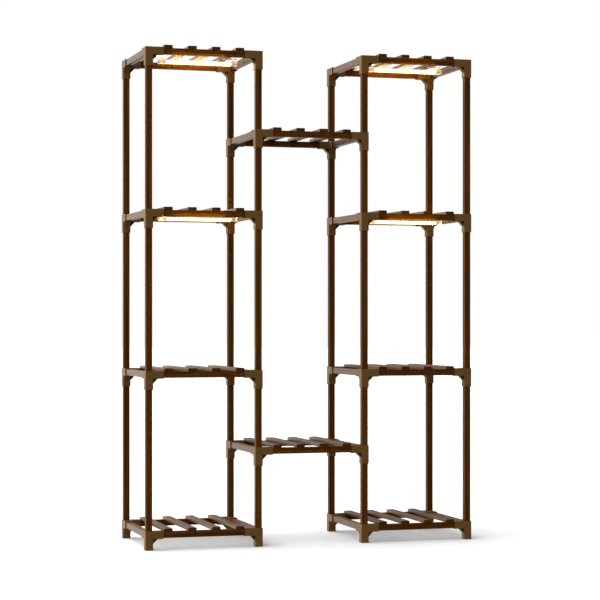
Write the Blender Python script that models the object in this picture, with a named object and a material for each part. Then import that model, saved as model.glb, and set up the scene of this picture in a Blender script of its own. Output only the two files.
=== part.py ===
"""Plant stand with grow lights: two slatted towers joined by two bridge shelves, and four light bars.

Metres, +Z up. +X is the stand's right, -Y its front, and the origin is on the floor at the middle of the base.
Square wooden poles and rails meet in plastic corner connectors, and the bottom connectors are the feet.
"""

import math

import bmesh
import bpy
from mathutils import Vector

# Driving dimensions
BAY_PITCH = 0.360  # between pole axes along X: left tower, bridge bay and right tower are alike
DEPTH_PITCH = 0.352  # between pole axes along Y
STAND_HEIGHT = 1.595  # to the top of the top connectors
STOCK = 0.020  # side of the square poles and rails
STOCK_CHAMFER = 0.0010
GAP = 0.0003  # between pieces that touch

# Slats
SLAT_COUNT = 4
SLAT_WIDTH = 0.028
SLAT_THICKNESS = 0.010
SLAT_CHAMFER = 0.002
SLAT_SEAT = 0.0005  # how far a slat is let into the rails
SLAT_SPAN = 0.263  # from the first slat's outer edge to the last one's

# Corner connectors
SLEEVE = 0.025  # outer side of a sleeve
SLEEVE_PROUD = (SLEEVE - STOCK) / 2
SLEEVE_HEIGHT = 0.061
ARM_REACH = 0.0475  # from the pole's axis to the arm's open end
BORE = STOCK + 2 * GAP
FOOT_THICKNESS = 0.003
GUSSET_LEG = 0.016
GUSSET_WEB = 0.004
GUSSET_FLANGE = 0.0025  # thickness of the slanted flange
GUSSET_WIDTH = STOCK
GUSSET_ROOT = 0.001  # how far a gusset reaches into the sleeve and the arm

# Heights of the rails' top faces, on which the slats lie
TOWER_SHELVES = (SLEEVE_HEIGHT - SLEEVE_PROUD, 0.566, 1.079, STAND_HEIGHT - SLEEVE_PROUD)
BRIDGE_SHELVES = (0.3175, 1.341)
LIT_SHELVES = (3, 4)

# Light bars, from the middle of their shelf and from the rails' top faces
BAR_LENGTH = 0.262
BAR_DEPTH = 0.024
BAR_TOP = -0.0130
BAR_BOTTOM = -0.0245
BAR_SHIFT = 0.024  # to the right of the shelf's middle, which leaves room for the cord
BAR_PLATE = 0.0025
BAR_LIP = 0.0015
BAR_LIP_DROP = 0.0065
BAR_LIP_AXIS = 0.0088
BAR_CORNER = 0.003
DIFFUSER_WALL = 0.0015
HANGER_LENGTH = 0.022
HANGER_CLEARANCE = 0.001  # how far a hanger's cup stands outside the bar
HANGER_STEM = 0.012
HANGER_FLANGE = 0.0025
HANGER_FOOT = 0.024  # how far a hanger's flange reaches to the left of its cup, under a slat
STRIP_WIDTH = 0.012
STRIP_THICKNESS = 0.0016
INLET_RADIUS = 0.0035
INLET_LENGTH = 0.006
INLET_SIDES = 12

TOWERS = {"left": -1, "right": 1}
SIDES = {"front": -1, "back": 1}
AXES = {"x": 0, "y": 1, "z": 2}


def clear_scene():
    """Removes whatever the scene holds."""
    for obj in list(bpy.data.objects):
        bpy.data.objects.remove(obj, do_unlink=True)


def material(name, colour, roughness, metallic=0.0, alpha=1.0, glow=0.0):
    """Makes a plain Principled material."""
    made = bpy.data.materials.new(name)
    made.use_nodes = True
    shader = made.node_tree.nodes["Principled BSDF"]
    shader.inputs["Base Color"].default_value = (*colour, 1.0)
    shader.inputs["Roughness"].default_value = roughness
    shader.inputs["Metallic"].default_value = metallic
    shader.inputs["Alpha"].default_value = alpha
    shader.inputs["Emission Color"].default_value = (*colour, 1.0)
    shader.inputs["Emission Strength"].default_value = glow
    return made


def chamfered_rectangle(width, height, chamfer):
    """Outline of a rectangle about the origin with its four corners cut."""
    x, y = width / 2, height / 2
    return [
        (-x + chamfer, -y),
        (x - chamfer, -y),
        (x, -y + chamfer),
        (x, y - chamfer),
        (x - chamfer, y),
        (-x + chamfer, y),
        (-x, y - chamfer),
        (-x, -y + chamfer),
    ]


def rectangle(low, high):
    """Outline of the rectangle between two opposite corners."""
    return [low, (high[0], low[1]), high, (low[0], high[1])]


def centred_square(side):
    """Outline of a square about the origin."""
    return rectangle((-side / 2, -side / 2), (side / 2, side / 2))


def prism(outline, axis, start, end, offset=(0.0, 0.0, 0.0)):
    """A closed mesh object: an outline pushed along an axis, from start to end.

    The outline's two numbers are the other two coordinates, in the order X, Y, Z.
    """
    along = AXES[axis]
    across = [index for index in range(3) if index != along]
    mesh = bpy.data.meshes.new("prism")
    shape = bmesh.new()
    rings = []
    for level in (start, end):
        ring = []
        for pair in outline:
            point = Vector(offset)
            point[along] += level
            point[across[0]] += pair[0]
            point[across[1]] += pair[1]
            ring.append(shape.verts.new(point))
        rings.append(ring)
    shape.faces.new(rings[0])
    shape.faces.new(rings[1])
    for index in range(len(outline)):
        following = (index + 1) % len(outline)
        shape.faces.new((rings[0][index], rings[0][following], rings[1][following], rings[1][index]))
    bmesh.ops.recalc_face_normals(shape, faces=shape.faces)
    shape.to_mesh(mesh)
    shape.free()
    made = bpy.data.objects.new("prism", mesh)
    bpy.context.scene.collection.objects.link(made)
    return made


def combined(solids, cutters=()):
    """One mesh: the union of the solids, less the cutters. The helpers are removed."""
    body = solids[0]
    for operation, others in (("UNION", solids[1:]), ("DIFFERENCE", cutters)):
        for other in others:
            step = body.modifiers.new(operation.lower(), "BOOLEAN")
            step.operation = operation
            step.object = other
    bpy.context.view_layer.update()
    graph = bpy.context.evaluated_depsgraph_get()
    mesh = bpy.data.meshes.new_from_object(body.evaluated_get(graph))
    tidy = bmesh.new()
    tidy.from_mesh(mesh)
    bmesh.ops.dissolve_limit(tidy, angle_limit=math.radians(0.1), verts=tidy.verts, edges=tidy.edges)
    tidy.to_mesh(mesh)
    tidy.free()
    for helper in (*solids, *cutters):
        bpy.data.objects.remove(helper, do_unlink=True)
    return mesh


def place(name, mesh, finish, location, parent):
    """Puts a mesh in the scene as one named piece."""
    if not mesh.materials:
        mesh.materials.append(finish)
    made = bpy.data.objects.new(name, mesh)
    made.location = location
    made.parent = parent
    bpy.context.scene.collection.objects.link(made)
    return made


def group(name, location=(0.0, 0.0, 0.0), parent=None):
    """An empty that holds the pieces of one assembly."""
    made = bpy.data.objects.new(name, None)
    made.empty_display_size = 0.05
    made.location = location
    made.parent = parent
    bpy.context.scene.collection.objects.link(made)
    return made


def stock(axis, start, end, offset):
    """A length of square wood, with eased long edges, centred on the offset."""
    return prism(chamfered_rectangle(STOCK, STOCK, STOCK_CHAMFER), axis, start, end, offset)


def rail_axis(height):
    """Height of a rail's middle, from the height of its top face."""
    return height - STOCK / 2


def ladder_mesh(heights):
    """Two poles, front and back, and the side rails that run between them at the given heights."""
    solids = []
    for side in SIDES.values():
        axis_point = (0, side * DEPTH_PITCH / 2, 0)
        solids.append(stock("z", FOOT_THICKNESS + GAP, TOWER_SHELVES[-1], axis_point))
    for height in heights:
        solids.append(stock("y", -DEPTH_PITCH / 2, DEPTH_PITCH / 2, (0, 0, rail_axis(height))))
    return combined(solids)


def slat_outline():
    """Section of a slat, standing on the rails' top faces, with its upper edges eased."""
    half = SLAT_WIDTH / 2
    return [
        (-half, -SLAT_SEAT),
        (half, -SLAT_SEAT),
        (half, SLAT_THICKNESS - SLAT_CHAMFER),
        (half - SLAT_CHAMFER, SLAT_THICKNESS),
        (-half + SLAT_CHAMFER, SLAT_THICKNESS),
        (-half, SLAT_THICKNESS - SLAT_CHAMFER),
    ]


def slat_places():
    """X of each slat's middle, from the middle of its bay."""
    first = -(SLAT_SPAN - SLAT_WIDTH) / 2
    step = (SLAT_SPAN - SLAT_WIDTH) / (SLAT_COUNT - 1)
    return [first + index * step for index in range(SLAT_COUNT)]


def deck_solids():
    """The front and back rails of a shelf and its slats, about the middle of the bay at the rails' top."""
    reach = BAY_PITCH / 2 - SLEEVE / 2 - GAP
    solids = []
    for side in SIDES.values():
        solids.append(stock("x", -reach, reach, (0, side * DEPTH_PITCH / 2, rail_axis(0))))
    half_depth = (DEPTH_PITCH + STOCK) / 2
    for x in slat_places():
        solids.append(prism(slat_outline(), "y", -half_depth, half_depth, (x, 0, 0)))
    return solids


def gusset(axis, sign):
    """The gusset in the corner below an arm: a thin web under a wide slanted flange.

    Both lie along the arm's axis, and their outlines hold the distance along it and the height.
    """
    face = SLEEVE / 2
    root = face - GUSSET_ROOT
    tip = face + GUSSET_LEG
    under = -STOCK - SLEEVE_PROUD
    inset = GUSSET_FLANGE * math.sqrt(2)
    lower = [(sign * tip, under + GUSSET_ROOT), (sign * tip, under), (sign * face, under - GUSSET_LEG)]
    web = [(sign * root, under + GUSSET_ROOT), *lower, (sign * root, under - GUSSET_LEG)]
    flange = [
        (sign * (tip - inset), under + GUSSET_ROOT),
        *lower,
        (sign * root, under - GUSSET_LEG),
        (sign * root, under - GUSSET_LEG + inset),
        (sign * face, under - GUSSET_LEG + inset),
        (sign * (tip - inset), under),
    ]
    across = "y" if axis == "x" else "x"
    return [
        prism(web, across, -GUSSET_WEB / 2, GUSSET_WEB / 2),
        prism(flange, across, -GUSSET_WIDTH / 2, GUSSET_WIDTH / 2),
    ]


def connector_parts(x_sign, y_sign, kind, open_rail=True):
    """The solids and cutters of one corner connector, about its pole's axis at the rails' top.

    Its arms point to x_sign and y_sign. The kind is foot, middle or top.
    """
    top = SLEEVE_PROUD
    bottom = top - SLEEVE_HEIGHT
    past = SLEEVE
    sleeve = prism(centred_square(SLEEVE), "z", bottom, top)
    arm_x = prism(centred_square(SLEEVE), "x", 0, x_sign * ARM_REACH, (0, 0, rail_axis(0)))
    arm_y = prism(centred_square(SLEEVE), "y", 0, y_sign * ARM_REACH, (0, 0, rail_axis(0)))
    solids = [sleeve, arm_x, arm_y, *gusset("x", x_sign), *gusset("y", y_sign)]
    bore_bottom = bottom + FOOT_THICKNESS if kind == "foot" else bottom - past
    bore_top = GAP if kind == "top" else top + past
    cutters = [
        prism(centred_square(BORE), "z", bore_bottom, bore_top),
        prism(centred_square(BORE), "y", 0, y_sign * (ARM_REACH + past), (0, 0, rail_axis(0))),
    ]
    if open_rail:
        start = x_sign * SLEEVE / 2
        end = x_sign * (ARM_REACH + past)
        cutters.append(prism(centred_square(BORE), "x", start, end, (0, 0, rail_axis(0))))
    return solids, cutters


def connector_mesh(x_sign, y_sign, kind):
    """One corner connector: an upright sleeve on its pole, an arm for each rail and two gussets."""
    return combined(*connector_parts(x_sign, y_sign, kind))


def bridge_mesh():
    """A bridge shelf in one piece with the four connectors that carry it on the inner poles."""
    solids = deck_solids()
    cutters = []
    for x_side in TOWERS.values():
        for y_side in SIDES.values():
            corner = Vector((x_side * BAY_PITCH / 2, y_side * DEPTH_PITCH / 2, 0))
            parts, holes = connector_parts(-x_side, -y_side, "middle", open_rail=False)
            for helper in (*parts, *holes):
                helper.location = corner
            solids += parts
            cutters += holes
    return combined(solids, cutters)


def channel_mesh():
    """The light bar's channel between two hangers, with the cord's inlet on its left end."""
    half = BAR_LENGTH / 2
    half_depth = BAR_DEPTH / 2
    cup = half_depth + HANGER_CLEARANCE
    cup_top = BAR_TOP + HANGER_CLEARANCE
    cup_bottom = BAR_BOTTOM - HANGER_CLEARANCE
    reach = half - BAR_PLATE
    plate = rectangle((-half_depth, BAR_TOP - BAR_PLATE), (half_depth, BAR_TOP))
    solids = [prism(plate, "x", -reach, reach)]
    for side in SIDES.values():
        middle = side * BAR_LIP_AXIS
        low = (middle - BAR_LIP / 2, BAR_TOP - BAR_LIP_DROP)
        high = (middle + BAR_LIP / 2, BAR_TOP - BAR_PLATE / 2)
        solids.append(prism(rectangle(low, high), "x", -reach, reach))
    for side in TOWERS.values():
        outer = side * half
        inner = side * (half - HANGER_LENGTH)
        solids.append(prism(rectangle((-cup, cup_bottom), (cup, cup_top)), "x", inner, outer))
        stem = rectangle((-HANGER_STEM / 2, BAR_TOP), (HANGER_STEM / 2, -GAP - HANGER_FLANGE / 2))
        middle = (outer + inner) / 2
        solids.append(prism(stem, "x", middle - HANGER_STEM / 2, middle + HANGER_STEM / 2))
        flange = rectangle((-half_depth, -SLAT_SEAT - GAP - HANGER_FLANGE), (half_depth, -SLAT_SEAT - GAP))
        solids.append(prism(flange, "x", min(inner, outer) - HANGER_FOOT, max(inner, outer)))
    turn = 2 * math.pi / INLET_SIDES
    middle_height = (BAR_TOP + BAR_BOTTOM) / 2
    circle = [
        (INLET_RADIUS * math.cos(index * turn), middle_height + INLET_RADIUS * math.sin(index * turn))
        for index in range(INLET_SIDES)
    ]
    solids.append(prism(circle, "x", -half - INLET_LENGTH, -half + BAR_PLATE))
    return combined(solids)


def corner_arc(centre, radius, start_degrees, steps=3):
    """Points of a quarter circle, turning to the left."""
    angles = [math.radians(start_degrees + 90 * index / steps) for index in range(steps + 1)]
    return [(centre[0] + radius * math.cos(angle), centre[1] + radius * math.sin(angle)) for angle in angles]


def diffuser_mesh():
    """The milky cover: a trough with round lower edges, open towards the channel."""
    reach = BAR_LENGTH / 2 - HANGER_LENGTH - GAP
    top = BAR_TOP - BAR_PLATE - GAP
    half = BAR_DEPTH / 2
    inner = half - DIFFUSER_WALL
    floor = BAR_BOTTOM + DIFFUSER_WALL
    inner_corner = BAR_CORNER - DIFFUSER_WALL
    outside = corner_arc((-half + BAR_CORNER, BAR_BOTTOM + BAR_CORNER), BAR_CORNER, 180)
    outside += corner_arc((half - BAR_CORNER, BAR_BOTTOM + BAR_CORNER), BAR_CORNER, 270)
    inside = corner_arc((-inner + inner_corner, floor + inner_corner), inner_corner, 180)
    inside += corner_arc((inner - inner_corner, floor + inner_corner), inner_corner, 270)
    outline = [(-half, top), *outside, (half, top), (inner, top), *reversed(inside), (-inner, top)]
    return combined([prism(outline, "x", -reach, reach)])


def strip_mesh():
    """The lamp strip under the channel's plate."""
    reach = BAR_LENGTH / 2 - HANGER_LENGTH - GAP
    top = BAR_TOP - BAR_PLATE - GAP
    section = rectangle((-STRIP_WIDTH / 2, top - STRIP_THICKNESS), (STRIP_WIDTH / 2, top))
    return combined([prism(section, "x", -reach, reach)])


def build_ladders(wood, stand):
    """The four side frames: outer ones carry the tower shelves, inner ones the bridge shelves too."""
    meshes = {
        "outer": ladder_mesh(TOWER_SHELVES),
        "inner": ladder_mesh(sorted(TOWER_SHELVES + BRIDGE_SHELVES)),
    }
    for tower, tower_side in TOWERS.items():
        for place_name, bays in (("outer", 1.5), ("inner", 0.5)):
            location = (tower_side * bays * BAY_PITCH, 0, 0)
            place(f"{tower}_tower_{place_name}_side_frame", meshes[place_name], wood, location, stand)


def build_decks(wood, stand):
    """The tower shelves: two rails and four slats each."""
    mesh = combined(deck_solids())
    for tower, tower_side in TOWERS.items():
        for level, height in enumerate(TOWER_SHELVES, start=1):
            place(f"{tower}_tower_shelf_{level}", mesh, wood, (tower_side * BAY_PITCH, 0, height), stand)


def build_bridges(wood, stand):
    """The lower and upper bridge shelves."""
    mesh = bridge_mesh()
    for name, height in zip(("lower", "upper"), BRIDGE_SHELVES):
        place(f"bridge_shelf_{name}", mesh, wood, (0, 0, height), stand)


def build_connectors(plastic, stand):
    """The towers' corner connectors, four to a shelf."""
    kinds = ("foot", "middle", "middle", "top")
    meshes = {}
    for tower, tower_side in TOWERS.items():
        for level, (kind, height) in enumerate(zip(kinds, TOWER_SHELVES), start=1):
            for side, y_side in SIDES.items():
                for hand, x_side in TOWERS.items():
                    key = (-x_side, -y_side, kind)
                    if key not in meshes:
                        meshes[key] = connector_mesh(*key)
                    x = tower_side * BAY_PITCH + x_side * BAY_PITCH / 2
                    location = (x, y_side * DEPTH_PITCH / 2, height)
                    name = f"{tower}_tower_connector_{level}_{side}_{hand}"
                    place(name, meshes[key], plastic, location, stand)


def build_light_bars(housing, milky, lamps, stand):
    """A light bar under each lit shelf: channel with hangers, diffuser and lamp strip."""
    meshes = {
        "channel": (channel_mesh(), housing),
        "diffuser": (diffuser_mesh(), milky),
        "lamp_strip": (strip_mesh(), lamps),
    }
    for tower, tower_side in TOWERS.items():
        for level in LIT_SHELVES:
            location = (tower_side * BAY_PITCH + BAR_SHIFT, 0, TOWER_SHELVES[level - 1])
            bar = group(f"{tower}_light_bar_{level}", location, stand)
            for piece, (mesh, finish) in meshes.items():
                place(f"{tower}_light_bar_{level}_{piece}", mesh, finish, (0, 0, 0), bar)


def main():
    """Builds the stand."""
    clear_scene()
    wood = material("dark_brown_wood", (0.060, 0.022, 0.008), 0.55)
    plastic = material("olive_brown_plastic", (0.078, 0.048, 0.020), 0.50)
    housing = material("clear_lamp_plastic", (0.85, 0.80, 0.70), 0.20, alpha=0.6)
    milky = material("milky_diffuser", (1.0, 0.93, 0.80), 0.40, glow=1.0)
    lamps = material("lamp_strip", (0.90, 0.85, 0.60), 0.50)
    stand = group("plant_stand")
    build_ladders(wood, stand)
    build_decks(wood, stand)
    build_bridges(wood, stand)
    build_connectors(plastic, stand)
    build_light_bars(housing, milky, lamps, stand)


main()
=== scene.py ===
"""Plant stand with grow lights, dressed: stained square wood, moulded connectors and warm light bars.

Metres, +Z up, -Y to the front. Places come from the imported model, and each class holds its own sizes.
"""

import logging
import math
import random
from collections.abc import Callable
from dataclasses import dataclass, field
from enum import Enum

import bmesh
import bpy
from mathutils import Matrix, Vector


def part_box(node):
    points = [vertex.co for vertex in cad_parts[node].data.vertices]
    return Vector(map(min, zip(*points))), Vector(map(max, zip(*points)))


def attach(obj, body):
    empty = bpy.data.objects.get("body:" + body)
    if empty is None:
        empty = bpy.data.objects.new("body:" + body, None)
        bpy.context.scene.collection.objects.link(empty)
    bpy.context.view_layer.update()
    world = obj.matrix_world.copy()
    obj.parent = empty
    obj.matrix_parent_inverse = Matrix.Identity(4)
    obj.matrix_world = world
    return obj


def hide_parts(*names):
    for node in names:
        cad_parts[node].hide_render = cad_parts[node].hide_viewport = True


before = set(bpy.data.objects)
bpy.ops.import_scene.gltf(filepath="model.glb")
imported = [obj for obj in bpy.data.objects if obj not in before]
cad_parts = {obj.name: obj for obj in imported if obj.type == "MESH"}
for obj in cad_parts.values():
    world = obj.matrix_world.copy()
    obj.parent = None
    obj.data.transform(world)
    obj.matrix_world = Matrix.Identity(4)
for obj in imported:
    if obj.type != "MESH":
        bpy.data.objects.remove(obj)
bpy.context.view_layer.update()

Outline = list[tuple[float, float]]
Colour = tuple[float, float, float, float]
Point = tuple[float, float, float]
Band = tuple[float, float]  # where a soft step starts and ends
Sockets = dict[str, object]

BODY = "root"
ORIGIN = (0.0, 0.0, 0.0)
SIDES = {"front": -1, "back": 1}
HANDS = {"left": -1, "right": 1}
FRAME_PLACES = ("outer", "inner")
LEVELS = range(1, 5)
LIT_LEVELS = (3, 4)
CHIP_PITCH = 0.0125
TOUCH = 0.0003  # how far a piece reaches into the one that it rests on
ROUNDED_FROM = math.radians(25)  # mould edges sharper than this are rounded
CREASED_FROM = math.radians(38)  # faces that meet at more than this are shaded apart
FLAT_WITHIN = math.radians(0.2)  # faces that meet at less than this are one face
WELD = 1e-6  # vertices nearer than this are one vertex
MIX_SHARE, MIX_FIRST, MIX_SECOND, MIX_RESULT = 0, 6, 7, 2  # the sockets of a Mix node for colours
GRAIN_RUN = (0.0, 8.0)  # where along its tree a length was cut
PITH_REACHES = ((0.035, 0.110), (0.010, 0.090))  # how far aside the tree's pith lies, each way

log = logging.getLogger("plant_stand")


class Axis(Enum):
    """The direction in which a length runs."""

    X = 0
    Y = 1
    Z = 2

    @property
    def across(self) -> tuple[int, int]:
        """The other two directions, in the order X, Y, Z."""
        return tuple(index for index in range(3) if index != self.value)


class Joint(Enum):
    """The three forms of a corner connector."""

    FOOT = "foot"
    MIDDLE = "middle"
    TOP = "top"


# Shader maths


def maths(operation: str, swapped: bool = False) -> Callable[..., "Value"]:
    """Makes an operator that adds one Math node.

    Args:
        operation: the node's operation.
        swapped: whether the other operand goes first.

    Returns:
        The operator.
    """

    def operator(this: "Value", other: "Value | float" = 0.0) -> "Value":
        """Adds the node."""
        operands = (other, this) if swapped else (this, other)
        return this.nodes.add("ShaderNodeMath", {"operation": operation}, dict(enumerate(operands)))

    return operator


class Value:
    """A socket of a finish's node tree, with arithmetic."""

    __add__ = __radd__ = maths("ADD")
    __sub__ = maths("SUBTRACT")
    __rsub__ = maths("SUBTRACT", swapped=True)
    __mul__ = __rmul__ = maths("MULTIPLY")
    __pow__ = maths("POWER")
    at_most = maths("MINIMUM")
    at_least = maths("MAXIMUM")
    size = maths("ABSOLUTE")
    sine = maths("SINE")

    def __init__(self, nodes: "Nodes", socket: bpy.types.NodeSocket) -> None:
        """Keeps the socket and the tree that it belongs to."""
        self.nodes = nodes
        self.socket = socket

    def wave(self) -> "Value":
        """A wave from 0 to 1 of this, in radians."""
        return self.sine() * 0.5 + 0.5

    def ramp(self, low: float, high: float, start: float = 0.0, end: float = 1.0) -> "Value":
        """Steps smoothly from start to end, while this goes from low to high.

        Args:
            low: where the step starts.
            high: where it ends.
            start: the value before it.
            end: the value after it.

        Returns:
            The value in between.
        """
        settings = {"interpolation_type": "SMOOTHSTEP"}
        inputs = {"Value": self, "From Min": low, "From Max": high, "To Min": start, "To Max": end}
        return self.nodes.add("ShaderNodeMapRange", settings, inputs)


@dataclass(frozen=True)
class Pattern:
    """Soft noise: spots per metre in each direction, finer layers, and how strong those are."""

    spots: Point
    layers: float = 2.0
    strength: float = 0.5


def even(spots: float, layers: float = 2.0, strength: float = 0.5) -> Pattern:
    """Noise that is alike in all directions."""
    return Pattern((spots,) * 3, layers, strength)


def grained(along: float, across: float, layers: float = 2.0, strength: float = 0.5) -> Pattern:
    """Noise that is drawn out along X."""
    return Pattern((along, across, across), layers, strength)


class Nodes:
    """A node tree in the making."""

    def __init__(self, tree: bpy.types.NodeTree) -> None:
        """Empties the tree."""
        self.tree = tree
        tree.nodes.clear()

    def add(self, kind: str, settings: dict | None = None, inputs: dict | None = None,
            output: int | str = 0) -> Value:
        """Adds one node.

        Args:
            kind: the node's type.
            settings: its properties, which are set first. A ramp's stops go in as "stops".
            inputs: a value or a link for each socket, by number or name.
            output: which of its outputs is returned.

        Returns:
            The chosen output.
        """
        node = self.tree.nodes.new(kind)
        for name, choice in (settings or {}).items():
            if name == "stops":
                self._set_stops(node.color_ramp, choice)
            else:
                setattr(node, name, choice)
        for key, given in (inputs or {}).items():
            if isinstance(given, Value):
                self.tree.links.new(given.socket, node.inputs[key])
            else:
                node.inputs[key].default_value = given
        return Value(self, node.outputs[output])

    def end(self, kind: str, shader: Value) -> None:
        """Leads a shader to the tree's output."""
        node = self.tree.nodes.new(kind)
        self.tree.links.new(shader.socket, node.inputs["Surface"])

    @staticmethod
    def _set_stops(ramp: bpy.types.ColorRamp, stops: list[tuple[float, Colour]]) -> None:
        """Gives a colour ramp its stops, from left to right.

        Args:
            ramp: the colour ramp.
            stops: a place and a colour for each.
        """
        while len(ramp.elements) < len(stops):
            ramp.elements.new(1.0)
        for element, (place, colour) in zip(ramp.elements, stops):
            element.position = place
            element.color = colour

    def attribute(self, name: str, output: str = "Vector") -> Value:
        """Reads one of the mesh's own attributes."""
        return self.add("ShaderNodeAttribute", {"attribute_name": name}, output=output)

    def place(self) -> Value:
        """The place on the piece, in metres."""
        return self.add("ShaderNodeTexCoord", output="Object")

    def noise(self, vector: Value, pattern: Pattern) -> Value:
        """Adds soft noise from 0 to 1.

        Args:
            vector: the coordinates.
            pattern: the size and the layers of the noise.

        Returns:
            The noise.
        """
        scaled = self.add("ShaderNodeVectorMath", {"operation": "MULTIPLY"}, {0: vector, 1: pattern.spots})
        inputs = {"Vector": scaled, "Scale": 1.0, "Detail": pattern.layers, "Roughness": pattern.strength}
        return self.add("ShaderNodeTexNoise", None, inputs)

    def split(self, vector: Value) -> tuple[Value, Value, Value]:
        """The three parts of a vector."""
        node = self.add("ShaderNodeSeparateXYZ", None, {0: vector}).socket.node
        return tuple(Value(self, output) for output in node.outputs)

    def blend(self, share: Value | float, first: Value | Colour, second: Value | Colour) -> Value:
        """Two colours, mixed by the share of the second."""
        inputs = {MIX_SHARE: share, MIX_FIRST: first, MIX_SECOND: second}
        return self.add("ShaderNodeMix", {"data_type": "RGBA"}, inputs, output=MIX_RESULT)

    def bump(self, height: Value, strength: float, distance: float) -> Value:
        """A normal that follows a relief of the given strength, from 0 to 1, and depth in metres."""
        inputs = {"Strength": strength, "Distance": distance, "Height": height}
        return self.add("ShaderNodeBump", None, inputs)


@dataclass(frozen=True)
class Finish:
    """A surface. Each kind gives its own name and its own sockets."""

    name: str

    def make(self) -> bpy.types.Material:
        """Makes this finish's material, once.

        Returns:
            The material.
        """
        found = bpy.data.materials.get(self.name)
        if found is not None:
            return found
        made = bpy.data.materials.new(self.name)
        made.use_nodes = True
        nodes = Nodes(made.node_tree)
        shader = nodes.add("ShaderNodeBsdfPrincipled", None, self.sockets(nodes))
        nodes.end("ShaderNodeOutputMaterial", shader)
        return made

    def sockets(self, nodes: Nodes) -> Sockets:
        """A value or a link for each socket of the Principled shader, built in the tree."""
        raise NotImplementedError


@dataclass(frozen=True)
class WoodStain(Finish):
    """Square wood under a dark satin stain, with growth rings, streaks and pores along each length."""

    name: str = "stained_wood"
    deep: Colour = (0.026, 0.0068, 0.0006, 1.0)
    body: Colour = (0.064, 0.0190, 0.0022, 1.0)
    pale: Colour = (0.116, 0.0415, 0.0028, 1.0)
    worn: Colour = (0.106, 0.0420, 0.0090, 1.0)
    ior: float = 1.22
    ring_pitch: float = 0.0034
    ring_sway: float = 9.0
    sways: Pattern = grained(5.0, 30.0)
    streaks: Pattern = grained(2.6, 210.0, 3.0, 0.55)
    fibres: Pattern = grained(11.0, 900.0, 3.0, 0.6)
    pores: Pattern = grained(110.0, 2300.0, 1.0)
    flecks: Pattern = grained(115.0, 170.0, 3.0)
    rubbing: Pattern = grained(26.0, 60.0, 3.0)
    fleck_share: float = 0.32
    end_share: float = 0.45
    pore_share: float = 0.55
    rubbed_share: float = 0.55
    streak_depth: float = 1.10
    fibre_depth: float = 0.46
    ring_depth: float = 0.16
    tone_depth: float = 0.05
    least_depth: float = -0.33
    stops: tuple[float, float, float] = (0.24, 0.50, 0.80)
    late_wood_band: Band = (0.45, 1.0)
    pore_band: Band = (0.60, 0.72)
    fleck_band: Band = (0.38, 0.66)
    edge_band: Band = (0.90, 1.0)
    rubbing_band: Band = (0.42, 0.70)
    end_band: Band = (0.5, 1.0)
    fibre_relief: float = 0.5
    pore_relief: float = 0.7
    ring_relief: float = 0.35
    streak_relief: float = 0.3
    relief_strength: float = 0.45
    relief: float = 0.0004
    roughness: float = 0.33
    fibre_roughness: float = 0.12
    pore_roughness: float = 0.15
    rubbed_gloss: float = 0.05

    def sockets(self, nodes: Nodes) -> Sockets:
        """Works out the stain, the grain's relief and the gloss.

        Args:
            nodes: the tree to build in.

        Returns:
            A value or a link for each socket of the Principled shader.
        """
        grain = nodes.attribute("grain")
        across_a, across_b, end_grain = nodes.split(nodes.attribute("section"))
        _, from_pith_a, from_pith_b = nodes.split(grain)
        radius = (from_pith_a * from_pith_a + from_pith_b * from_pith_b) ** 0.5
        sway = nodes.noise(grain, self.sways) * self.ring_sway
        late_wood = (radius * (2 * math.pi / self.ring_pitch) + sway).wave().ramp(*self.late_wood_band)
        streaks = nodes.noise(grain, self.streaks)
        fibres = nodes.noise(grain, self.fibres)
        pores = nodes.noise(grain, self.pores).ramp(*self.pore_band)
        flecks = nodes.noise(grain, self.flecks).ramp(*self.fleck_band)
        edge = across_a.size().at_most(across_b.size()).ramp(*self.edge_band)
        rubbed = edge * nodes.noise(grain, self.rubbing).ramp(*self.rubbing_band)
        tone = nodes.attribute("tone", "Fac")
        depth = streaks * self.streak_depth + fibres * self.fibre_depth + late_wood * self.ring_depth
        depth = depth + tone * self.tone_depth + self.least_depth
        stops = list(zip(self.stops, (self.deep, self.body, self.pale)))
        colour = nodes.add("ShaderNodeValToRGB", {"stops": stops}, {0: depth})
        colour = nodes.blend(flecks * self.fleck_share, colour, self.deep)
        colour = nodes.blend(end_grain.ramp(*self.end_band) * self.end_share, colour, self.deep)
        colour = nodes.blend(pores * self.pore_share, colour, self.deep)
        height = fibres * self.fibre_relief - pores * self.pore_relief
        height = height + late_wood * self.ring_relief + streaks * self.streak_relief
        roughness = self.roughness + fibres * self.fibre_roughness + pores * self.pore_roughness
        return {
            "Base Color": nodes.blend(rubbed * self.rubbed_share, colour, self.worn),
            "Roughness": roughness - rubbed * self.rubbed_gloss,
            "Normal": nodes.bump(height, self.relief_strength, self.relief),
            "IOR": self.ior,
        }


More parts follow.
